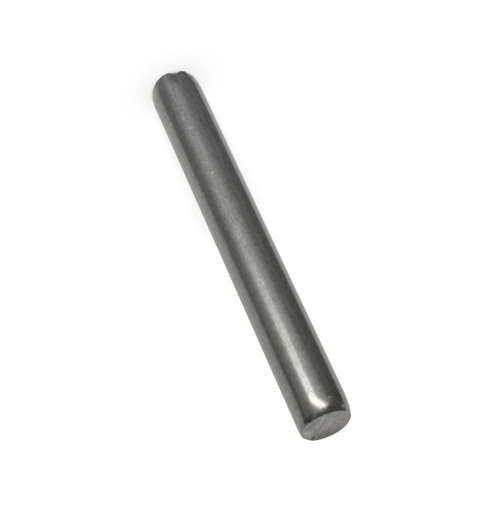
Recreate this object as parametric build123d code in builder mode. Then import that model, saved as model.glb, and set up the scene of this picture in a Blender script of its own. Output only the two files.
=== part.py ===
from build123d import *
import os

# Driving dimensions, in millimetres and degrees

# Ground shank, and the pin over its two end faces
pin_diameter = 6.35
pin_length = 50.8

# Rounded lead-in at each end: its length, and how far it brings the radius in at the flat face.
# The lower end is rounded over more sharply than the upper one.
upper_crown_length = 2.8
upper_crown_drop = 0.225
lower_crown_length = 2.2
lower_crown_drop = 0.425
edge_radius = 0.05

# Small dent in the rim of the upper face
dent_angle = 34.0
dent_radius = 0.5
dent_depth = 0.15

# Larger chip out of the rim of the lower face
chip_angle = -109.0
chip_radius = 0.7
chip_depth = 0.35

# Worked out from the sizes above
pin_radius = pin_diameter / 2
upper_face_radius = pin_radius - upper_crown_drop
lower_face_radius = pin_radius - lower_crown_drop
upper_crown_start = (pin_radius, pin_length - upper_crown_length)
lower_crown_start = (pin_radius, lower_crown_length)

# The pin stands on its lower face. The origin is the centre of that face and the axis is Z.
# Each lead-in is one arc that leaves the shank along its side and ends at the rim of the face.
with BuildPart() as ball_stop_pin:
    with BuildSketch(Plane.XZ) as half_section:
        with BuildLine() as half_outline:
            Line((0, 0), (lower_face_radius, 0))
            TangentArc(lower_crown_start, (lower_face_radius, 0), tangent=(0, -1))
            Line(lower_crown_start, upper_crown_start)
            TangentArc(upper_crown_start, (upper_face_radius, pin_length), tangent=(0, 1))
            Line((upper_face_radius, pin_length), (0, pin_length))
            Line((0, pin_length), (0, 0))
        make_face()
    revolve(axis=Axis.Z)

    # The sharp rim of both faces is broken by a very small radius.
    end_faces = ball_stop_pin.faces().filter_by(Plane.XY)
    fillet(end_faces.edges(), radius=edge_radius)

    # Both marks are shallow round hollows, centred on the rim, so they open to the face and the lead-in.
    with Locations((0, 0, pin_length - dent_depth + dent_radius)):
        with PolarLocations(upper_face_radius, 1, start_angle=dent_angle):
            Sphere(dent_radius, mode=Mode.SUBTRACT)

    with Locations((0, 0, chip_depth - chip_radius)):
        with PolarLocations(lower_face_radius, 1, start_angle=chip_angle):
            Sphere(chip_radius, mode=Mode.SUBTRACT)

ball_stop_pin.part.label = "ball_stop_pin"

os.makedirs("parts", exist_ok=True)
export_step(ball_stop_pin.part, "parts/ball_stop_pin.step")
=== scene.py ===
# %% [markdown]
# # A ball stop pin, lit as in a studio
#
# The object is one plain steel pin. In a reciprocating pump it sits crosswise above the valve
# ball and limits how far the ball can lift. It is cropped from ground bar, and each end is
# rounded over so that it slides easily into its two holes.
#
# A pin this plain has nothing to hide behind. It looks real only if three things are right:
# the arcs of its ends, the fine unevenness of ground steel, and what the metal mirrors.
# The cells below take them in that order.

from math import cos, radians, sin

import bpy
from mathutils import Matrix, Vector


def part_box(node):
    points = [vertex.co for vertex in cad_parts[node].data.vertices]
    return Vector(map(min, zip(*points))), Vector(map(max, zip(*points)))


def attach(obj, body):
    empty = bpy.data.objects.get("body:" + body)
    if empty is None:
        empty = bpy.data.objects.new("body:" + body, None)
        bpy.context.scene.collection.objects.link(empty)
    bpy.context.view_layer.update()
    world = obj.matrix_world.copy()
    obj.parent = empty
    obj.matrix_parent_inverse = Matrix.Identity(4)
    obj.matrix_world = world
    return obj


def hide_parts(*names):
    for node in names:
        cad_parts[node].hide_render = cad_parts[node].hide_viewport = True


MM = 0.001
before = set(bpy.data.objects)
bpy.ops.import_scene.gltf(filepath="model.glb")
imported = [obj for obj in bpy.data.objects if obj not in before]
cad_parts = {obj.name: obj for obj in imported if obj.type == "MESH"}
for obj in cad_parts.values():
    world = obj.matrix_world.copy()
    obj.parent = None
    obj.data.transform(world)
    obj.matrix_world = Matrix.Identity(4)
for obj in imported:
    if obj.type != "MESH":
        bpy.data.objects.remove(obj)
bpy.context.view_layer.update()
pin_low, pin_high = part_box("ball_stop_pin")
print("CAD box in mm:", [round(size / MM, 3) for size in pin_high - pin_low])

# %% [markdown]
# ## Sizes
#
# Blender works in metres, and the frame already holds the pin's true diameter and length, so
# those two are read from it. The small sizes of the ends are written here once, in millimetres
# as a maker would say them, and turned into metres by one multiplication.

# %% Sizes of the pin and its ends
pin_radius = (pin_high.x - pin_low.x) / 2
pin_length = pin_high.z - pin_low.z

upper_crown_length = 2.8 * MM
upper_crown_drop = 0.225 * MM
lower_crown_length = 2.2 * MM
lower_crown_drop = 0.425 * MM
edge_radius = 0.05 * MM

print(f"pin radius {pin_radius / MM:.3f} mm, length {pin_length / MM:.2f} mm")

# %% [markdown]
# ## Small helpers for node trees
#
# A node tree is quicker to read as a list of short lines than as a web of boxes. `add` makes one
# node, sets what it is told, and joins or fills its inputs. `calc` and `vector_calc` do the same
# for arithmetic and hand back the result, so a formula can be written from the inside out.
# `measure` is for the vector sums whose answer is one number, such as a length. `combine` makes a
# vector of three numbers and `split` takes one apart. `fade` climbs smoothly from 0 to 1 between
# two values, and `noise` is Blender's cloudy texture.

# %% Helpers for node trees
def add(tree, kind, inputs=None, **settings):
    made = tree.nodes.new(kind)
    for name, value in settings.items():
        setattr(made, name, value)
    for socket, value in (inputs or {}).items():
        if isinstance(value, bpy.types.NodeSocket):
            tree.links.new(value, made.inputs[socket])
        else:
            made.inputs[socket].default_value = value
    return made


def calc(tree, operation, *values, clamp=False):
    inputs = dict(enumerate(values))
    return add(tree, "ShaderNodeMath", inputs, operation=operation, use_clamp=clamp).outputs[0]


def vector_calc(tree, operation, *values):
    inputs = dict(enumerate(values))
    return add(tree, "ShaderNodeVectorMath", inputs, operation=operation).outputs[0]


def measure(tree, operation, *values):
    inputs = dict(enumerate(values))
    return add(tree, "ShaderNodeVectorMath", inputs, operation=operation).outputs["Value"]


def combine(tree, x, y, z):
    return add(tree, "ShaderNodeCombineXYZ", {"X": x, "Y": y, "Z": z}).outputs[0]


def split(tree, vector):
    return add(tree, "ShaderNodeSeparateXYZ", {0: vector}).outputs


def fade(tree, value, zero_at, one_at):
    inputs = {"Value": value, "From Min": zero_at, "From Max": one_at}
    made = add(tree, "ShaderNodeMapRange", inputs, interpolation_type="SMOOTHSTEP")
    return made.outputs["Result"]


def noise(tree, place, scale=1.0, detail=2.0, roughness=0.5):
    inputs = {"Vector": place, "Scale": scale, "Detail": detail, "Roughness": roughness}
    return add(tree, "ShaderNodeTexNoise", inputs).outputs[0]


print("node helpers ready")

# %% [markdown]
# A node group is a small tree with named inputs and outputs that other trees can use as one
# node. `new_group` makes an empty one and hands back its tree, what it is given, and the sockets
# where its answers go.

# %% A helper for node groups
FLOAT = "NodeSocketFloat"
VECTOR = "NodeSocketVector"
GEOMETRY = "NodeSocketGeometry"
MATERIAL = "NodeSocketMaterial"


def new_group(kind, name, inputs, outputs):
    tree = bpy.data.node_groups.new(name, kind)
    for socket, (socket_type, value) in inputs.items():
        made = tree.interface.new_socket(socket, in_out="INPUT", socket_type=socket_type)
        if value is not None:
            made.default_value = value
    for socket, socket_type in outputs.items():
        tree.interface.new_socket(socket, in_out="OUTPUT", socket_type=socket_type)
    return tree, tree.nodes.new("NodeGroupInput").outputs, tree.nodes.new("NodeGroupOutput").inputs


print("group helper ready")

# %% [markdown]
# ## The rounded ends as a rule
#
# Each end is turned to one arc that leaves the side of the pin smoothly and stops at the flat
# face. If the arc is `length` long and comes in by `drop`, its radius is
# (length² + drop²) / (2 · drop). At a distance s past the start of the arc the surface has come
# in by radius − √(radius² − s²). Both ends use the same rule with other numbers, so it is a node
# group of its own. The broken edge of a face is the same rule once more, with length and drop
# both equal to the edge radius, which is a quarter circle.

# %% The arc of a rounded end
def build_arc_group():
    inputs = {"Past start": (FLOAT, 0.0), "Length": (FLOAT, 0.002), "Drop": (FLOAT, 0.0003)}
    tree, given, result = new_group("GeometryNodeTree", "Rounded end arc", inputs, {"Comes in": FLOAT})
    length = given["Length"]
    drop = given["Drop"]
    squares = calc(tree, "MULTIPLY_ADD", length, length, calc(tree, "MULTIPLY", drop, drop))
    arc_radius = calc(tree, "DIVIDE", squares, calc(tree, "MULTIPLY", drop, 2.0))
    past = calc(tree, "MINIMUM", calc(tree, "MAXIMUM", given["Past start"], 0.0), length)
    radius_squared = calc(tree, "MULTIPLY", arc_radius, arc_radius)
    past_squared = calc(tree, "MULTIPLY", past, past)
    inside_root = calc(tree, "MAXIMUM", calc(tree, "SUBTRACT", radius_squared, past_squared), 0.0)
    comes_in = calc(tree, "SUBTRACT", arc_radius, calc(tree, "SQRT", inside_root))
    tree.links.new(comes_in, result["Comes in"])
    return tree


arc_group = build_arc_group()


def arc(tree, past, length, drop):
    inputs = {"Past start": past, "Length": length, "Drop": drop}
    return add(tree, "GeometryNodeGroup", inputs, node_tree=arc_group).outputs[0]


print("node group:", arc_group.name)

# %% [markdown]
# ## Uneven rims
#
# Bar that is cropped and then ground by hand never has a true round rim. Around the rim there
# are stretches that lie further in or out, by about a tenth of a millimetre at most at the upper
# end and by up to three tenths at the lower one, beside its chip. They could be made by pulling
# points about, but as values they can still be moved or turned down later. One group makes such
# a stretch: it is given the direction in which a point lies, and it answers how far in the
# stretch brings that point.

# %% A stretch of rim that lies further in or out
def build_rim_stretch_group():
    inputs = {"Angle": (FLOAT, 0.0), "Centre": (FLOAT, 0.0), "Half width": (FLOAT, 20.0),
              "Soft edge": (FLOAT, 15.0), "Depth": (FLOAT, 0.0)}
    tree, given, result = new_group("GeometryNodeTree", "Stretch of rim", inputs, {"Comes in": FLOAT})
    away = calc(tree, "SUBTRACT", given["Angle"], given["Centre"])
    away = calc(tree, "ABSOLUTE", calc(tree, "WRAP", away, 180.0, -180.0))
    outer = calc(tree, "ADD", given["Half width"], given["Soft edge"])
    strength = fade(tree, away, outer, given["Half width"])
    tree.links.new(calc(tree, "MULTIPLY", strength, given["Depth"]), result["Comes in"])
    return tree


rim_stretch_group = build_rim_stretch_group()


def sum_of_stretches(tree, angle, stretches):
    total = None
    for centre, half_width, soft_edge, depth in stretches:
        inputs = {"Angle": angle, "Centre": centre, "Half width": half_width,
                  "Soft edge": soft_edge, "Depth": depth}
        part = add(tree, "GeometryNodeGroup", inputs, node_tree=rim_stretch_group)
        total = part.outputs[0] if total is None else calc(tree, "ADD", total, part.outputs[0])
    return total


print("node group:", rim_stretch_group.name)

# %% [markdown]
# The stretches of this pin were placed by comparing its outline with the photograph. Each has a
# centre, a half width and a soft edge in degrees, and a depth in millimetres. A depth below zero
# lies further out. They grow from nothing at the start of a crown to their full depth at the
# face, at the lower end more suddenly.

# %% Uneven stretches of the two rims
upper_rim_stretches = [
    (152.0, 6.0, 18.0, 0.05),
    (-100.0, 14.0, 26.0, 0.08),
    (80.0, 22.0, 30.0, -0.11),
    (-20.0, 22.0, 24.0, -0.06),
    (180.0, 12.0, 20.0, -0.02),
]
lower_rim_stretches = [
    (-74.0, 4.0, 36.0, -0.20),
    (-84.0, 7.0, 10.0, -0.10),
    (-131.0, 6.0, 10.0, -0.13),
]
upper_growth = 2.0
lower_growth = 2.6
print(len(upper_rim_stretches) + len(lower_rim_stretches), "uneven stretches")

# %% [markdown]
# In three places the upper rim was also rubbed rounder, like a worn shoulder. A shoulder is the
# arc of the rounded ends again, only shorter. Its last number is a share of the full drop.

# %% Rounder shoulders of the upper rim
shoulder_length = 0.75 * MM
shoulder_drop = 0.10 * MM
upper_shoulders = [
    (6.0, 16.0, 24.0, 1.0),
    (-38.0, 10.0, 16.0, 1.7),
    (164.0, 8.0, 22.0, 0.50),
]
print(len(upper_shoulders), "shoulders")

# %% [markdown]
# ## Marks that something hard pressed in
#
# Dents and chips are made as if a small hard ball had been pushed into the steel. Every point
# that lies inside the ball moves straight away from its centre until it lies on the ball. The
# ball's centre is at the pin's surface or outside it, so the steel gives way inwards.

# %% A ball pressed into the surface
def build_pressed_ball_group():
    inputs = {"Geometry": (GEOMETRY, None), "Centre": (VECTOR, (0.0, 0.0, 0.0)), "Radius": (FLOAT, 0.0005)}
    tree, given, result = new_group("GeometryNodeTree", "Pressed ball", inputs, {"Geometry": GEOMETRY})
    position = add(tree, "GeometryNodeInputPosition").outputs[0]
    away = vector_calc(tree, "SUBTRACT", position, given["Centre"])
    distance = measure(tree, "LENGTH", away)
    push = calc(tree, "MAXIMUM", calc(tree, "SUBTRACT", given["Radius"], distance), 0.0)
    direction = vector_calc(tree, "NORMALIZE", away)
    offset = add(tree, "ShaderNodeVectorMath", {0: direction, "Scale": push}, operation="SCALE").outputs[0]
    moved = add(tree, "GeometryNodeSetPosition", {"Geometry": given["Geometry"], "Offset": offset})
    tree.links.new(moved.outputs[0], result["Geometry"])
    return tree


pressed_ball_group = build_pressed_ball_group()


def press_ball(tree, geometry, centre, radius):
    inputs = {"Geometry": geometry, "Centre": centre, "Radius": radius}
    return add(tree, "GeometryNodeGroup", inputs, node_tree=pressed_ball_group).outputs[0]


print("node group:", pressed_ball_group.name)

# %% [markdown]
# Each mark is written in millimetres as x, y, how far the ball's centre is past the face, and
# the ball's radius. The upper rim has a dent made by two balls, and a ding further down its side.
# The lower rim has one large chip, with five small nicks beside it.

# %% Marks in the rims
upper_marks = [
    (2.240, 1.800, 0.300, 0.450),
    (2.010, 1.440, 0.160, 0.270),
    (-2.560, -1.940, -0.500, 0.280),
]
lower_marks = [
    (-0.895, -2.600, 0.350, 0.700),
    (-0.400, -2.860, 0.020, 0.130),
    (-0.760, -2.780, -0.260, 0.120),
    (-1.120, -2.650, -0.280, 0.140),
    (-1.460, -2.520, -0.060, 0.130),
    (-1.760, -2.420, 0.060, 0.120),
]


def press_marks(tree, geometry, length):
    for x, y, past_face, radius in upper_marks:
        centre = combine(tree, x * MM, y * MM, calc(tree, "ADD", length, past_face * MM))
        geometry = press_ball(tree, geometry, centre, radius * MM)
    for x, y, past_face, radius in lower_marks:
        geometry = press_ball(tree, geometry, (x * MM, y * MM, -past_face * MM), radius * MM)
    return geometry


print(len(upper_marks) + len(lower_marks), "balls to press in")

# %% [markdown]
# ## Rings of points
#
# The pin could be spun from an outline or cut from a cylinder by hand. Its shape follows a rule,
# though, so it is made from Blender's Cylinder node, and each point is then moved to where the
# rule puts it. The cylinder starts out one metre long with evenly spaced rings. First the rings
# are shared out between the two crowns and the shank, and bunched together towards the faces,
# where the surface bends.

# %% How finely the pin is divided
around = 224
rings_lower_crown = 58
rings_shank = 64
rings_upper_crown = 70
rings_face = 56
bunching = 1.7
rings_side = rings_lower_crown + rings_shank + rings_upper_crown
triangles = around * (rings_side * 2 + 2 * (2 * rings_face - 1))
print("triangles planned:", triangles)

# %% The height of each ring
def ring_height(tree, given, along):
    lower_share = rings_lower_crown / rings_side
    shank_share = rings_shank / rings_side
    upper_share = rings_upper_crown / rings_side
    lower_crown = given["Lower crown length"]
    upper_crown = given["Upper crown length"]
    in_lower = calc(tree, "DIVIDE", along, lower_share, clamp=True)
    in_shank = calc(tree, "DIVIDE", calc(tree, "SUBTRACT", along, lower_share), shank_share, clamp=True)
    to_go = calc(tree, "DIVIDE", calc(tree, "SUBTRACT", 1.0, along), upper_share, clamp=True)
    lower_height = calc(tree, "MULTIPLY", calc(tree, "POWER", in_lower, bunching), lower_crown)
    shank_length = calc(tree, "SUBTRACT", given["Length"], calc(tree, "ADD", lower_crown, upper_crown))
    shank_height = calc(tree, "MULTIPLY", in_shank, shank_length)
    below_top = calc(tree, "MULTIPLY", calc(tree, "POWER", to_go, bunching), upper_crown)
    upper_height = calc(tree, "SUBTRACT", upper_crown, below_top)
    return calc(tree, "ADD", calc(tree, "ADD", lower_height, shank_height), upper_height)


print("ring heights ready")

# %% [markdown]
# Then each ring gets its radius. `true_ends` adds up what the two crowns and the two broken edges
# take off it, and `worn_rims` adds the uneven stretches and the shoulders to that.

# %% How far each ring comes in
def true_ends(tree, given, height, from_top, past_lower, past_upper):
    edge = given["Edge radius"]
    lower_arc = arc(tree, past_lower, given["Lower crown length"], given["Lower crown drop"])
    upper_arc = arc(tree, past_upper, given["Upper crown length"], given["Upper crown drop"])
    lower_edge = arc(tree, calc(tree, "SUBTRACT", edge, height), edge, edge)
    upper_edge = arc(tree, calc(tree, "SUBTRACT", edge, from_top), edge, edge)
    crowns = calc(tree, "ADD", lower_arc, upper_arc)
    return calc(tree, "ADD", crowns, calc(tree, "ADD", lower_edge, upper_edge))


def worn_rims(tree, given, comes_in, angle, from_top, lower_weight, upper_weight):
    upper = calc(tree, "MULTIPLY", sum_of_stretches(tree, angle, upper_rim_stretches), upper_weight)
    lower = calc(tree, "MULTIPLY", sum_of_stretches(tree, angle, lower_rim_stretches), lower_weight)
    uneven = calc(tree, "MULTIPLY", calc(tree, "ADD", upper, lower), MM)
    past_shoulder = calc(tree, "SUBTRACT", given["Shoulder length"], from_top)
    shoulder = arc(tree, past_shoulder, given["Shoulder length"], given["Shoulder drop"])
    shoulder = calc(tree, "MULTIPLY", shoulder, sum_of_stretches(tree, angle, upper_shoulders))
    return calc(tree, "ADD", calc(tree, "ADD", comes_in, uneven), shoulder)


def growth(tree, past, length, power):
    return calc(tree, "POWER", calc(tree, "DIVIDE", past, length, clamp=True), power)


print("ring radii ready")

# %% [markdown]
# ## Cropped faces
#
# The blade that cropped the bar went across it in one direction, and the tears it left are long
# that way and narrow the other way. `along_the_cut` turns a place on the face into such
# stretched coordinates, for the relief in the mesh and for the finish alike.

# %% Coordinates stretched along the cut
cut_angle = radians(72.0)
with_the_cut = (cos(cut_angle), sin(cut_angle), 0.0)
across_the_cut = (-sin(cut_angle), cos(cut_angle), 0.0)


def along_the_cut(tree, place, width_in_mm, length_in_mm):
    along = measure(tree, "DOT_PRODUCT", place, with_the_cut)
    across = measure(tree, "DOT_PRODUCT", place, across_the_cut)
    x = calc(tree, "MULTIPLY", along, 1.0 / (length_in_mm * MM))
    y = calc(tree, "MULTIPLY", across, 1.0 / (width_in_mm * MM))
    z = calc(tree, "MULTIPLY", split(tree, place)["Z"], 1.0 / MM)
    return combine(tree, x, y, z)


print("coordinates along the cut ready")

# %% [markdown]
# A cropped face isn't flat. It is torn a few hundredths of a millimetre deep, and it falls away
# a little towards its rim, twice as much on the side where the blade came out. Both only take
# metal away, so the face stays inside the true length of the pin.

# %% Torn and slightly domed faces
face_relief = 0.035 * MM
face_dome = 0.03 * MM
dome_power = 5.0
relief_width_in_mm = 0.42
relief_length_in_mm = 1.90
intact_below = 0.35
deepest_above = 0.75
fallen_rims = [
    (84.0, 22.0, 30.0, 1.0),
]


def sink_faces(tree, given, geometry, cylinder, angle, share_out):
    place = add(tree, "GeometryNodeInputPosition").outputs[0]
    tears = noise(tree, along_the_cut(tree, place, relief_width_in_mm, relief_length_in_mm))
    torn = calc(tree, "MULTIPLY", fade(tree, tears, intact_below, deepest_above), given["Face relief"])
    dome = calc(tree, "MULTIPLY", calc(tree, "POWER", share_out, dome_power), given["Face dome"])
    fallen = calc(tree, "ADD", sum_of_stretches(tree, angle, fallen_rims), 1.0)
    depth = calc(tree, "MULTIPLY_ADD", dome, fallen, torn)
    for face, inward in (("Top", -1.0), ("Bottom", 1.0)):
        offset = combine(tree, 0.0, 0.0, calc(tree, "MULTIPLY", depth, inward))
        inputs = {"Geometry": geometry, "Selection": cylinder.outputs[face], "Offset": offset}
        geometry = add(tree, "GeometryNodeSetPosition", inputs).outputs[0]
    return geometry


print("faces are torn up to", round(face_relief / MM, 3), "mm deep")

# %% [markdown]
# ## Handing out the finishes
#
# The tree lays on both finishes itself, so the mesh comes out dressed. Every face first gets the
# shank's finish, and then those that the Cylinder node calls its top and bottom get the other
# one. It could be done by hand in Edit Mode, but would be lost at each change of a size.

# %% Two finishes by selection
def dress(tree, given, geometry, cylinder):
    geometry = add(tree, "GeometryNodeSetShadeSmooth", {"Geometry": geometry}).outputs[0]
    geometry = add(tree, "GeometryNodeRealizeInstances", {"Geometry": geometry}).outputs[0]
    inputs = {"Geometry": geometry, "Material": given["Shank finish"]}
    geometry = add(tree, "GeometryNodeSetMaterial", inputs).outputs[0]
    both = {0: cylinder.outputs["Top"], 1: cylinder.outputs["Bottom"]}
    ends = add(tree, "FunctionNodeBooleanMath", both, operation="OR").outputs[0]
    inputs = {"Geometry": geometry, "Selection": ends, "Material": given["End face finish"]}
    return add(tree, "GeometryNodeSetMaterial", inputs).outputs[0]


print("finishes can be handed out")

# %% [markdown]
# ## The whole pin as one node tree
#
# Now the tree is only a few steps long. Make the cylinder, work out each ring's height and
# radius, move the points there, sink the faces, press in the marks, and hand out the two
# finishes. The upper end was ground slightly off centre, so its rings also slide sideways, the
# more the nearer they are to the face.

# %% The tree
upper_off_centre = 0.153 * MM


def build_pin_tree():
    inputs = {
        "Radius": (FLOAT, pin_radius), "Length": (FLOAT, pin_length),
        "Upper crown length": (FLOAT, upper_crown_length), "Upper crown drop": (FLOAT, upper_crown_drop),
        "Lower crown length": (FLOAT, lower_crown_length), "Lower crown drop": (FLOAT, lower_crown_drop),
        "Edge radius": (FLOAT, edge_radius), "Upper end off centre": (FLOAT, upper_off_centre),
        "Shoulder length": (FLOAT, shoulder_length), "Shoulder drop": (FLOAT, shoulder_drop),
        "Face relief": (FLOAT, face_relief), "Face dome": (FLOAT, face_dome),
        "Shank finish": (MATERIAL, None), "End face finish": (MATERIAL, None),
    }
    tree, given, result = new_group("GeometryNodeTree", "Turned pin", inputs, {"Geometry": GEOMETRY})
    divisions = {"Vertices": around, "Side Segments": rings_side, "Fill Segments": rings_face,
                 "Radius": given["Radius"], "Depth": 1.0}
    cylinder = add(tree, "GeometryNodeMeshCylinder", divisions, fill_type="TRIANGLE_FAN")
    position = split(tree, add(tree, "GeometryNodeInputPosition").outputs[0])
    angle = calc(tree, "DEGREES", calc(tree, "ARCTAN2", position["Y"], position["X"]))

    # Where the point's ring lies
    height = ring_height(tree, given, calc(tree, "ADD", position["Z"], 0.5))
    from_top = calc(tree, "SUBTRACT", given["Length"], height)
    past_lower = calc(tree, "SUBTRACT", given["Lower crown length"], height)
    past_upper = calc(tree, "SUBTRACT", given["Upper crown length"], from_top)
    lower_weight = growth(tree, past_lower, given["Lower crown length"], lower_growth)
    upper_weight = growth(tree, past_upper, given["Upper crown length"], upper_growth)

    # How large the ring is. Every point keeps its share of the way from the axis to the surface
    comes_in = true_ends(tree, given, height, from_top, past_lower, past_upper)
    comes_in = worn_rims(tree, given, comes_in, angle, from_top, lower_weight, upper_weight)
    ring_radius = calc(tree, "SUBTRACT", given["Radius"], comes_in)
    stretch = calc(tree, "DIVIDE", ring_radius, given["Radius"])
    slide = calc(tree, "MULTIPLY", given["Upper end off centre"], upper_weight)
    new_x = calc(tree, "MULTIPLY_ADD", position["X"], stretch, slide)
    new_y = calc(tree, "MULTIPLY", position["Y"], stretch)
    moves = {"Geometry": cylinder.outputs["Mesh"], "Position": combine(tree, new_x, new_y, height)}
    geometry = add(tree, "GeometryNodeSetPosition", moves).outputs[0]

    # Faces, marks and finishes
    from_axis = measure(tree, "LENGTH", combine(tree, position["X"], position["Y"], 0.0))
    share_out = calc(tree, "DIVIDE", from_axis, given["Radius"])
    geometry = sink_faces(tree, given, geometry, cylinder, angle, share_out)
    geometry = press_marks(tree, geometry, given["Length"])
    tree.links.new(dress(tree, given, geometry, cylinder), result["Geometry"])
    return tree


pin_tree = build_pin_tree()
print("nodes in the pin's tree:", len(pin_tree.nodes))

# %% [markdown]
# ## Unevenness of ground steel
#
# Bright steel is never an even grey. It has a fine mottle from the stock, faint streaks from
# the grinding, small pits, and spots where something rubbed or stained it. The finishes need
# them at their own strengths, so each effect is a shader node group that answers with one value.
# All read Object coordinates in metres.

# %% Mottle and streaks
def build_mottle_group():
    inputs = {"Vector": (VECTOR, None), "Grain in mm": (FLOAT, 0.4)}
    tree, given, result = new_group("ShaderNodeTree", "Mottle", inputs, {"Value": FLOAT})
    scale = calc(tree, "DIVIDE", 1.0 / MM, given["Grain in mm"])
    tree.links.new(noise(tree, given["Vector"], scale, detail=3.0, roughness=0.6), result["Value"])
    return tree


def build_streak_group():
    inputs = {"Vector": (VECTOR, None), "Width in mm": (FLOAT, 0.15), "Length in mm": (FLOAT, 6.0)}
    tree, given, result = new_group("ShaderNodeTree", "Lengthwise streaks", inputs, {"Value": FLOAT})
    across = calc(tree, "DIVIDE", 1.0 / MM, given["Width in mm"])
    lengthwise = calc(tree, "DIVIDE", 1.0 / MM, given["Length in mm"])
    stretched = vector_calc(tree, "MULTIPLY", given["Vector"], combine(tree, across, across, lengthwise))
    tree.links.new(noise(tree, stretched), result["Value"])
    return tree


mottle_group = build_mottle_group()
streak_group = build_streak_group()
print("effects:", mottle_group.name, "and", streak_group.name)

# %% [markdown]
# Pits come from a Voronoi texture, which divides space into cells. A share of the cells is
# chosen by chance, and each of those gets a small hollow at its centre. A soft spot is a ball
# that fades out from a given centre, with noise to make its outline ragged.

# %% Pits and spots
raggedness = 0.6
clouds_per_mm = 1.6


def build_pit_group():
    inputs = {"Vector": (VECTOR, None), "Spacing in mm": (FLOAT, 0.8), "Size": (FLOAT, 0.15),
              "Share": (FLOAT, 0.4)}
    tree, given, result = new_group("ShaderNodeTree", "Small pits", inputs, {"Mask": FLOAT})
    scale = calc(tree, "DIVIDE", 1.0 / MM, given["Spacing in mm"])
    cells = add(tree, "ShaderNodeTexVoronoi", {"Vector": given["Vector"], "Scale": scale})
    chance = add(tree, "ShaderNodeSeparateColor", {0: cells.outputs["Color"]}).outputs[0]
    chosen = calc(tree, "LESS_THAN", chance, given["Share"])
    hollow = fade(tree, cells.outputs["Distance"], given["Size"], 0.0)
    tree.links.new(calc(tree, "MULTIPLY", hollow, chosen), result["Mask"])
    return tree


def build_spot_group():
    inputs = {"Vector": (VECTOR, None), "Centre": (VECTOR, (0.0, 0.0, 0.0)), "Radius": (FLOAT, 0.0005)}
    tree, given, result = new_group("ShaderNodeTree", "Soft spot", inputs, {"Mask": FLOAT})
    clouds = noise(tree, given["Vector"], scale=clouds_per_mm / MM, detail=1.0)
    away = measure(tree, "DISTANCE", given["Vector"], given["Centre"])
    uneven = calc(tree, "MULTIPLY_ADD", clouds, raggedness, 1.0 - raggedness / 2)
    ragged = calc(tree, "MULTIPLY", uneven, away)
    tree.links.new(fade(tree, ragged, given["Radius"], 0.0), result["Mask"])
    return tree


pit_group = build_pit_group()
spot_group = build_spot_group()
print("effects:", pit_group.name, "and", spot_group.name)

# %% [markdown]
# ## Two finishes
#
# The shank is ground and polished: metallic, mid grey, and smooth enough to mirror the room as
# long soft bands. The end faces were cropped: the metal there is torn and duller, with marks in
# the direction of the cut. Small height differences are a Bump node each. Noise hovers round its
# middle value, so `spread` stretches the part from `low` to `high` over the way from 0 to 1.

# %% Helpers for finishes
def new_finish(name):
    finish = bpy.data.materials.new(name)
    finish.use_nodes = True
    tree = finish.node_tree
    shader = tree.nodes["Principled BSDF"]
    shader.inputs["Metallic"].default_value = 1.0
    place = tree.nodes.new("ShaderNodeTexCoord").outputs["Object"]
    return finish, tree, shader, place


def effect(tree, group, place, values):
    return add(tree, "ShaderNodeGroup", {"Vector": place, **values}, node_tree=group).outputs[0]


def spot(tree, place, centre, radius):
    return effect(tree, spot_group, place, {"Centre": centre, "Radius": radius})


def spread(tree, value, low=0.3, high=0.7):
    return fade(tree, value, low, high)


def bump(tree, height, depth_in_mm, under=None):
    inputs = {"Height": height, "Distance": depth_in_mm * MM, "Strength": 1.0}
    if under is not None:
        inputs["Normal"] = under
    return add(tree, "ShaderNodeBump", inputs).outputs[0]


def blend_colours(tree, factor, first, second):
    made = add(tree, "ShaderNodeMix", {0: factor}, data_type="RGBA")
    for index, colour in ((6, first), (7, second)):
        if isinstance(colour, bpy.types.NodeSocket):
            tree.links.new(colour, made.inputs[index])
        else:
            made.inputs[index].default_value = (*colour, 1.0)
    return made.outputs[2]


print("finish helpers ready")

# %% [markdown]
# The colour of the shank is steel times a grain. The steel gets a trace warmer towards the upper
# end. The grain adds up slow patches, long streaks that show more near the lower end, and a
# fine grain, and the pits are darker. What changes with height is given the two heights where
# the change begins and where it is complete.

# %% Colour of the shank
steel_at_lower_end = (0.58, 0.58, 0.575)
steel_of_shank = (0.58, 0.58, 0.560)
steel_at_upper_end = (0.58, 0.58, 0.550)
pit_colour = (0.34, 0.33, 0.32)
darkest = 0.82
patch_share = 0.10
grain_share = 0.27
streak_share = 0.08
more_streaks = 0.16
warmer_over = (0.0, 40.0 * MM)
warmest_over = (34.0 * MM, 48.0 * MM)
more_streaks_over = (16.0 * MM, 2.0 * MM)


def shank_colour(tree, place, mottle, fine, pits):
    height = split(tree, place)["Z"]
    steel = blend_colours(tree, fade(tree, height, *warmer_over), steel_at_lower_end, steel_of_shank)
    steel = blend_colours(tree, fade(tree, height, *warmest_over), steel, steel_at_upper_end)
    long_streaks = effect(tree, streak_group, place, {"Width in mm": 0.42, "Length in mm": 4.5})
    streaky = calc(tree, "SUBTRACT", spread(tree, long_streaks), 0.5)
    near_lower_end = fade(tree, height, *more_streaks_over)
    streak_strength = calc(tree, "MULTIPLY_ADD", near_lower_end, more_streaks, streak_share)
    grain = calc(tree, "MULTIPLY_ADD", spread(tree, mottle), patch_share, darkest)
    grain = calc(tree, "MULTIPLY_ADD", streaky, streak_strength, grain)
    grain = calc(tree, "MULTIPLY_ADD", spread(tree, fine, 0.25, 0.75), grain_share, grain)
    colour = vector_calc(tree, "MULTIPLY", steel, combine(tree, grain, grain, grain))
    return blend_colours(tree, pits, colour, pit_colour)


print("shank colour ready")
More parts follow.
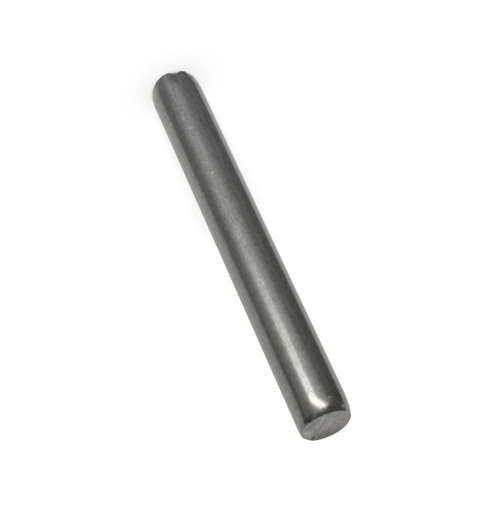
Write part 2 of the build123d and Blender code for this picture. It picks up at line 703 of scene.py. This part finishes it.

# %% [markdown]
# A few small glints are painted onto the shank as soft spots. Each is written as x, y, z and
# radius in millimetres, then how light it is and how matt. The lighter colour is a painted glint,
# the last one on the ding in the upper rim, and each spot gets rougher as well as lighter.

# %% Small painted glints on the shank
blue_of_painted_glint = 0.98
# Painted glints: each spot is lighter and rougher where the steel shows a small bright glint.
shank_painted_glints = [
    (-0.02, -3.17, 16.60, 0.22, 0.90, 0.50),
    (0.52, -3.13, 7.68, 0.20, 0.90, 0.50),
    (0.30, -3.16, 9.31, 0.16, 0.90, 0.50),
    (-0.17, -3.17, 2.85, 0.13, 0.72, 0.30),
    (0.62, -2.95, 1.35, 0.22, 0.85, 0.45),
    (0.32, -3.16, 32.63, 0.18, 0.90, 0.50),
    (-1.46, -2.82, 49.07, 0.24, 0.85, 0.45),
    (-2.47, -1.87, 50.30, 0.42, 1.00, 0.80),
]


def add_painted_glints(tree, place, colour, roughness):
    for x, y, z, radius, shade, matt in shank_painted_glints:
        glint_mask = spot(tree, place, (x * MM, y * MM, z * MM), radius * MM)
        # The lighter colour here is a painted glint.
        colour = blend_colours(tree, glint_mask, colour, (shade, shade, shade * blue_of_painted_glint))
        roughness = calc(tree, "MULTIPLY_ADD", glint_mask, matt, roughness)
    return colour, roughness


print(len(shank_painted_glints), "light scuffs")

# %% [markdown]
# The finish of the shank brings these together. Polished steel mirrors well, so its roughness
# is low. Four layers of bump, none deeper than 0.006 mm, break up the mirrored bands a little.

# %% The ground and polished shank
polish = 0.115
polish_varies_by = 0.02


def make_shank_finish():
    finish, tree, shader, place = new_finish("ground_steel_shank")
    mottle = effect(tree, mottle_group, place, {"Grain in mm": 0.9})
    fine = effect(tree, streak_group, place, {"Width in mm": 0.22, "Length in mm": 0.50})
    streaks = effect(tree, streak_group, place, {"Width in mm": 0.16, "Length in mm": 7.0})
    pits = effect(tree, pit_group, place, {"Spacing in mm": 0.9, "Size": 0.12, "Share": 0.3})
    colour = shank_colour(tree, place, mottle, fine, pits)
    roughness = calc(tree, "MULTIPLY_ADD", spread(tree, fine), polish_varies_by, polish)
    # The painted glints go on over the steel's colour and roughness.
    colour, roughness = add_painted_glints(tree, place, colour, roughness)
    tree.links.new(colour, shader.inputs["Base Color"])
    tree.links.new(roughness, shader.inputs["Roughness"])
    normal = bump(tree, mottle, depth_in_mm=0.0016)
    normal = bump(tree, fine, depth_in_mm=0.0007, under=normal)
    normal = bump(tree, streaks, depth_in_mm=0.0006, under=normal)
    normal = bump(tree, calc(tree, "MULTIPLY", pits, -1.0), depth_in_mm=0.006, under=normal)
    tree.links.new(normal, shader.inputs["Normal"])
    return finish


shank_finish = make_shank_finish()
print("finish:", shank_finish.name)

# %% [markdown]
# The face is painted darker towards the side where the blade came out, with a ragged border.
# This is painted shade on that side of the face. Over that lie spots that were placed from the
# photograph, written as x, y and radius in millimetres, and how light they are. The darkest of
# them, along that rim and in the dent, are painted shade as well.

# %% Painted shade and spots of the upper face
# Where the painted shade on the face begins and is complete, how ragged its border is, and its colour.
painted_shade_from = 0.2 * MM
painted_shade_to = 2.6 * MM
painted_shade_border = 3.5 * MM
painted_shade_colour = (0.26, 0.255, 0.24)
blue_of_spot = 0.97
# The darkest spots, along the darker rim and in the dent, are painted shade.
face_spots_and_painted_shade = [
    (2.45, 0.75, 0.85, 0.58),
    (0.78, 2.05, 0.90, 0.24),
    (-0.35, 2.35, 0.50, 0.30),
    (2.05, 1.55, 0.32, 0.14),
    (-1.03, 1.03, 0.55, 0.40),
    (1.64, -0.61, 0.60, 0.42),
    (-0.94, -1.44, 0.45, 0.42),
    (-1.48, -1.44, 0.45, 0.42),
    (0.21, -2.40, 0.50, 0.62),
    (-1.42, -2.03, 0.50, 0.62),
    (2.35, -0.10, 1.10, 0.70),
    (0.60, 0.30, 0.60, 0.60),
]


def add_painted_shade_and_spots(tree, place, mottle, colour):
    way_of_blade = measure(tree, "DOT_PRODUCT", place, with_the_cut)
    centred = calc(tree, "SUBTRACT", mottle, 0.5)
    ragged_shade_side = calc(tree, "MULTIPLY_ADD", centred, painted_shade_border, way_of_blade)
    # Painted shade: the side of the face where the blade came out is darkened, with a ragged border.
    colour = blend_colours(tree, fade(tree, ragged_shade_side, painted_shade_from, painted_shade_to), colour, painted_shade_colour)
    for x, y, radius, shade in face_spots_and_painted_shade:
        mask = spot(tree, place, (x * MM, y * MM, pin_length), radius * MM)
        colour = blend_colours(tree, mask, colour, (shade, shade, shade * blue_of_spot))
    return colour


print(len(face_spots_and_painted_shade), "spots on the upper face")

# %% [markdown]
# The finish of the end faces is duller and rougher than the shank's. Its mottle and its cut
# marks use the coordinates along the cut, so they run the same way as the relief in the mesh.

# %% The cropped end faces
dull_steel = (0.39, 0.387, 0.375)
bright_steel = (0.61, 0.606, 0.588)
dullness = 0.28
dullness_varies_by = 0.12


def make_end_face_finish():
    finish, tree, shader, place = new_finish("cropped_steel_face")
    broad = along_the_cut(tree, place, width_in_mm=0.55, length_in_mm=1.6)
    mottle = noise(tree, broad, detail=3.0, roughness=0.6)
    fine = effect(tree, mottle_group, place, {"Grain in mm": 0.16})
    narrow = along_the_cut(tree, place, width_in_mm=0.30, length_in_mm=1.4)
    cut_marks = noise(tree, narrow)
    colour = blend_colours(tree, spread(tree, mottle), dull_steel, bright_steel)
    # The painted shade and the spots go on over the mottle.
    colour = add_painted_shade_and_spots(tree, place, mottle, colour)
    tree.links.new(colour, shader.inputs["Base Color"])
    roughness = calc(tree, "MULTIPLY_ADD", spread(tree, fine), dullness_varies_by, dullness)
    tree.links.new(roughness, shader.inputs["Roughness"])
    normal = bump(tree, mottle, depth_in_mm=0.012)
    normal = bump(tree, cut_marks, depth_in_mm=0.004, under=normal)
    normal = bump(tree, fine, depth_in_mm=0.003, under=normal)
    tree.links.new(normal, shader.inputs["Normal"])
    return finish


end_face_finish = make_end_face_finish()
print("finish:", end_face_finish.name)

# %% [markdown]
# ## Making the pin
#
# The tree runs as a Geometry Nodes modifier on an empty mesh. The values go in by each socket's
# identifier, the result is copied out as a plain mesh, and the object that carried the modifier
# is thrown away, so that what is kept is ordinary geometry.

# %% Run the tree and keep a plain mesh
def run_tree(name, tree, values):
    carrier = bpy.data.objects.new(name + "_carrier", bpy.data.meshes.new(name + "_carrier"))
    bpy.context.scene.collection.objects.link(carrier)
    modifier = carrier.modifiers.new("Shape", "NODES")
    modifier.node_group = tree
    for item in tree.interface.items_tree:
        if item.item_type == "SOCKET" and item.in_out == "INPUT" and item.name in values:
            modifier[item.identifier] = values[item.name]
    evaluated = carrier.evaluated_get(bpy.context.evaluated_depsgraph_get())
    mesh = bpy.data.meshes.new_from_object(evaluated)
    bpy.data.objects.remove(carrier)
    mesh.name = name
    piece = bpy.data.objects.new(name, mesh)
    bpy.context.scene.collection.objects.link(piece)
    return piece


pin = run_tree("steel_pin", pin_tree, {"Shank finish": shank_finish, "End face finish": end_face_finish})
heights = [corner[2] for corner in pin.bound_box]
print(f"{pin.name}: {len(pin.data.polygons)} faces, {(max(heights) - min(heights)) / MM:.3f} mm tall")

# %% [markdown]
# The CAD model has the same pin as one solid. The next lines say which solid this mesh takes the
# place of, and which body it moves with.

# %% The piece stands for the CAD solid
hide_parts("ball_stop_pin")
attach(pin, "root")
print("the pin replaces its CAD solid")

# %% [markdown]
# ## The floor
#
# The floor is plain and pale. It is lit like anything else, so it keeps the pin's shadow, and it
# glows a very little for the camera alone, which lifts it to white. The pin would mirror a bright
# floor all over, because every mirrored ray from an upright cylinder seen from above goes
# down. A photographer would stand dark cards around it, and here the floor is simply left out of
# reflections, so that the studio below decides what the steel shows.

# %% Floor
floor_half_width = 1.5
floor_colour = (0.80, 0.80, 0.80, 1.0)
floor_glow = 0.16


def make_floor():
    mesh = bpy.data.meshes.new("floor")
    half = floor_half_width
    corners = [(-half, -half, 0.0), (half, -half, 0.0), (half, half, 0.0), (-half, half, 0.0)]
    mesh.from_pydata(corners, [], [(0, 1, 2, 3)])
    made = bpy.data.objects.new("floor", mesh)
    bpy.context.scene.collection.objects.link(made)
    made.visible_glossy = False
    return made


def make_floor_finish():
    finish = bpy.data.materials.new("pale_floor")
    finish.use_nodes = True
    tree = finish.node_tree
    tree.nodes.clear()
    paint = add(tree, "ShaderNodeBsdfDiffuse", {"Color": floor_colour})
    seen = tree.nodes.new("ShaderNodeLightPath").outputs["Is Camera Ray"]
    glow = add(tree, "ShaderNodeEmission", {"Strength": calc(tree, "MULTIPLY", seen, floor_glow)})
    both = add(tree, "ShaderNodeAddShader", {0: paint.outputs[0], 1: glow.outputs[0]})
    add(tree, "ShaderNodeOutputMaterial", {"Surface": both.outputs[0]})
    return finish


floor = make_floor()
floor.data.materials.append(make_floor_finish())
print("floor ready")

# %% [markdown]
# ## The studio that the steel mirrors
#
# What is seen on polished steel is the room. The room here is a handful of soft boxes, each
# described by the direction it lies in, in degrees: azimuth 0 is towards the camera and grows to
# the pin's -X side, which is on the right in the picture, and elevation is above or below the
# horizon. A box is soft at all its edges. Its centre may drift sideways with height, and that
# gives the long highlight its hooked upper end. One node group makes a box, and the world adds
# the boxes up for mirrored rays.

# %% A soft box by direction
def build_soft_box_group():
    inputs = {"Azimuth": (FLOAT, 0.0), "Elevation": (FLOAT, 0.0), "Centre": (FLOAT, 0.0),
              "Drift": (FLOAT, 0.0), "Drifts above": (FLOAT, 0.0),
              "Half width": (FLOAT, 10.0), "Side softness": (FLOAT, 10.0),
              "Lowest": (FLOAT, -40.0), "Low softness": (FLOAT, 10.0),
              "Highest": (FLOAT, 0.0), "High softness": (FLOAT, 10.0), "Level": (FLOAT, 1.0)}
    tree, given, result = new_group("ShaderNodeTree", "Soft box", inputs, {"Light": FLOAT})
    risen = calc(tree, "MAXIMUM", calc(tree, "SUBTRACT", given["Elevation"], given["Drifts above"]), 0.0)
    centre = calc(tree, "MULTIPLY_ADD", risen, given["Drift"], given["Centre"])
    away = calc(tree, "WRAP", calc(tree, "SUBTRACT", given["Azimuth"], centre), 180.0, -180.0)
    outer = calc(tree, "ADD", given["Half width"], given["Side softness"])
    sideways = fade(tree, calc(tree, "ABSOLUTE", away), outer, given["Half width"])
    bottom = calc(tree, "SUBTRACT", given["Lowest"], given["Low softness"])
    top = calc(tree, "ADD", given["Highest"], given["High softness"])
    from_below = fade(tree, given["Elevation"], bottom, given["Lowest"])
    from_above = fade(tree, given["Elevation"], top, given["Highest"])
    shape = calc(tree, "MULTIPLY", sideways, calc(tree, "MULTIPLY", from_below, from_above))
    tree.links.new(calc(tree, "MULTIPLY", shape, given["Level"]), result["Light"])
    return tree


soft_box_group = build_soft_box_group()
print("node group:", soft_box_group.name)

# %% [markdown]
# The numbers of each box stand in the order of `box_inputs`. The three key boxes make the long
# highlight: its bright core, the tip where it hooks round, and the glow about it. The fills lift
# the dark parts beside it, the walls make the two light bands along the edges, and the upper
# room is what the end face mirrors.

# %% Soft boxes
box_inputs = ("Centre", "Drift", "Drifts above", "Half width", "Side softness", "Lowest", "Low softness",
              "Highest", "High softness", "Level")
soft_boxes = {
    "key core": (-8.7, 2.02, -18.5, 7.0, 14.0, -18.5, 13.5, -7.2, 2.6, 1.30),
    "key tip": (25.0, 0.0, 0.0, 4.0, 18.0, -8.0, 2.0, -5.2, 2.2, 0.45),
    "key glow": (-2.0, 0.55, -33.0, 4.0, 50.0, -22.0, 30.0, -7.4, 4.0, 0.46),
    "left fill": (-36.0, 0.0, 0.0, 12.0, 26.0, -25.0, 9.0, -16.5, 3.5, 0.10),
    "edge fill": (70.0, 0.0, 0.0, 50.0, 40.0, -13.0, 4.0, 0.0, 6.0, 0.03),
    "right fill": (52.0, 0.0, 0.0, 10.0, 22.0, -56.0, 24.0, -11.0, 6.0, 0.04),
    "low glow": (-18.0, 0.0, 0.0, 14.0, 46.0, -90.0, 1.0, -46.0, 10.0, 0.08),
    "left wall": (-136.0, 0.0, 0.0, 44.0, 22.0, -47.0, 12.0, 12.0, 14.0, 0.20),
    "left rear wall": (-156.0, 0.0, 0.0, 20.0, 60.0, -47.0, 12.0, 12.0, 14.0, 0.14),
    "right wall": (155.0, 0.0, 0.0, 29.0, 20.0, -41.5, 8.0, 12.0, 14.0, 0.33),
    "low fill": (0.0, 0.0, 0.0, 180.0, 1.0, -90.0, 1.0, -44.0, 38.0, 0.10),
    "low left fill": (-62.0, 0.0, 0.0, 30.0, 40.0, -90.0, 1.0, -36.0, 20.0, 0.03),
    "front of upper room": (0.0, 0.0, 0.0, 90.0, 30.0, 22.0, 14.0, 90.0, 1.0, 0.42),
    "rear of upper room": (180.0, 0.0, 0.0, 60.0, 30.0, 26.0, 10.0, 90.0, 1.0, 0.36),
}
dark_room = 0.045


def add_up_boxes(tree, azimuth, elevation):
    studio = dark_room
    for label, values in soft_boxes.items():
        inputs = {"Azimuth": azimuth, "Elevation": elevation, **dict(zip(box_inputs, values))}
        box = add(tree, "ShaderNodeGroup", inputs, node_tree=soft_box_group, label=label)
        studio = calc(tree, "ADD", box.outputs[0], studio)
    return studio


print(len(soft_boxes), "soft boxes")

# %% [markdown]
# Three kinds of ray ask the world for light, and each gets its own answer. The camera sees plain
# white. Rays that scatter, such as those that light the floor, get plain even light. Mirrored
# rays get the studio, which is a trace warmer on its left side and in its upper part.

# %% World
even_light = 0.70
white = (1.0, 1.0, 1.0)
warm_white = (1.0, 0.99, 0.95)
warm_to_the_left = (-50.0, -110.0)
warm_high_up = (-29.0, -22.0)


def make_world():
    world = bpy.data.worlds.new("studio")
    world.use_nodes = True
    tree = world.node_tree
    tree.nodes.clear()
    direction = split(tree, tree.nodes.new("ShaderNodeTexCoord").outputs["Generated"])
    to_the_right = calc(tree, "MULTIPLY", direction["X"], -1.0)
    towards_camera = calc(tree, "MULTIPLY", direction["Y"], -1.0)
    azimuth = calc(tree, "DEGREES", calc(tree, "ARCTAN2", to_the_right, towards_camera))
    elevation = calc(tree, "DEGREES", calc(tree, "ARCSINE", direction["Z"]))
    path = tree.nodes.new("ShaderNodeLightPath").outputs
    more_than_even = calc(tree, "SUBTRACT", add_up_boxes(tree, azimuth, elevation), even_light)
    light = calc(tree, "MULTIPLY_ADD", path["Is Glossy Ray"], more_than_even, even_light)
    strength = calc(tree, "MAXIMUM", light, path["Is Camera Ray"])
    to_the_left = fade(tree, azimuth, *warm_to_the_left)
    high_up = fade(tree, elevation, *warm_high_up)
    warmer = calc(tree, "MULTIPLY", calc(tree, "MAXIMUM", to_the_left, high_up), path["Is Glossy Ray"])
    tint = blend_colours(tree, warmer, white, warm_white)
    background = add(tree, "ShaderNodeBackground", {"Color": tint, "Strength": strength})
    add(tree, "ShaderNodeOutputWorld", {"Surface": background.outputs[0]})
    return world


bpy.context.scene.world = make_world()
bpy.context.scene.world.cycles.sampling_method = "NONE"
print("world ready")

# %% [markdown]
# ## One soft lamp
#
# A Sun lamp stands for a large soft light behind the camera. It is there for the floor: it gives
# the pin a shadow that tells where it stands, and from the camera that shadow is mostly hidden.

# %% Lamp
sun_energy = 1.6
sun_height = radians(55.0)
sun_softness = radians(8.0)
sun = bpy.data.objects.new("soft_sun", bpy.data.lights.new("soft_sun", "SUN"))
sun.data.energy = sun_energy
sun.data.angle = sun_softness
sun.visible_glossy = False
sun.rotation_euler = (radians(90.0) - sun_height, 0.0, 0.0)
bpy.context.scene.collection.objects.link(sun)
print("lamp ready")

# %% [markdown]
# ## The camera
#
# The photograph looks down at the pin and is turned nearly upside down, so the upright pin seems
# to lie on the background, with its upper end nearest and at the bottom of the picture. Location,
# pitch and roll were worked out from the outline of the pin and the ellipse of its end face.

# %% Camera
camera_place = Vector((0.576, -140.831, 110.636)) * MM
camera_pitch = radians(30.731)
camera_roll = radians(155.592)
camera_lens = 98.82

level_right = Vector((1.0, 0.0, 0.0))
level_up = Vector((0.0, sin(camera_pitch), cos(camera_pitch)))
right = level_right * cos(camera_roll) + level_up * sin(camera_roll)
up = level_up * cos(camera_roll) - level_right * sin(camera_roll)
back = right.cross(up)
camera = bpy.data.objects.new("camera", bpy.data.cameras.new("camera"))
camera.data.lens = camera_lens
camera.data.sensor_width = 36.0
camera.data.clip_start = 0.01
camera.data.clip_end = 10.0
turn = Matrix((right, up, back)).transposed().to_4x4()
camera.matrix_world = Matrix.Translation(camera_place) @ turn
bpy.context.scene.collection.objects.link(camera)
bpy.context.scene.camera = camera
bpy.context.scene.view_settings.view_transform = "Standard"
print("camera at", [round(value / MM, 1) for value in camera.location])

# %% [markdown]
# ## Last update
#
# The view layer is updated once more. The dressed pin has to fill the same box as the CAD model.

# %% Update the view layer
bpy.context.view_layer.update()
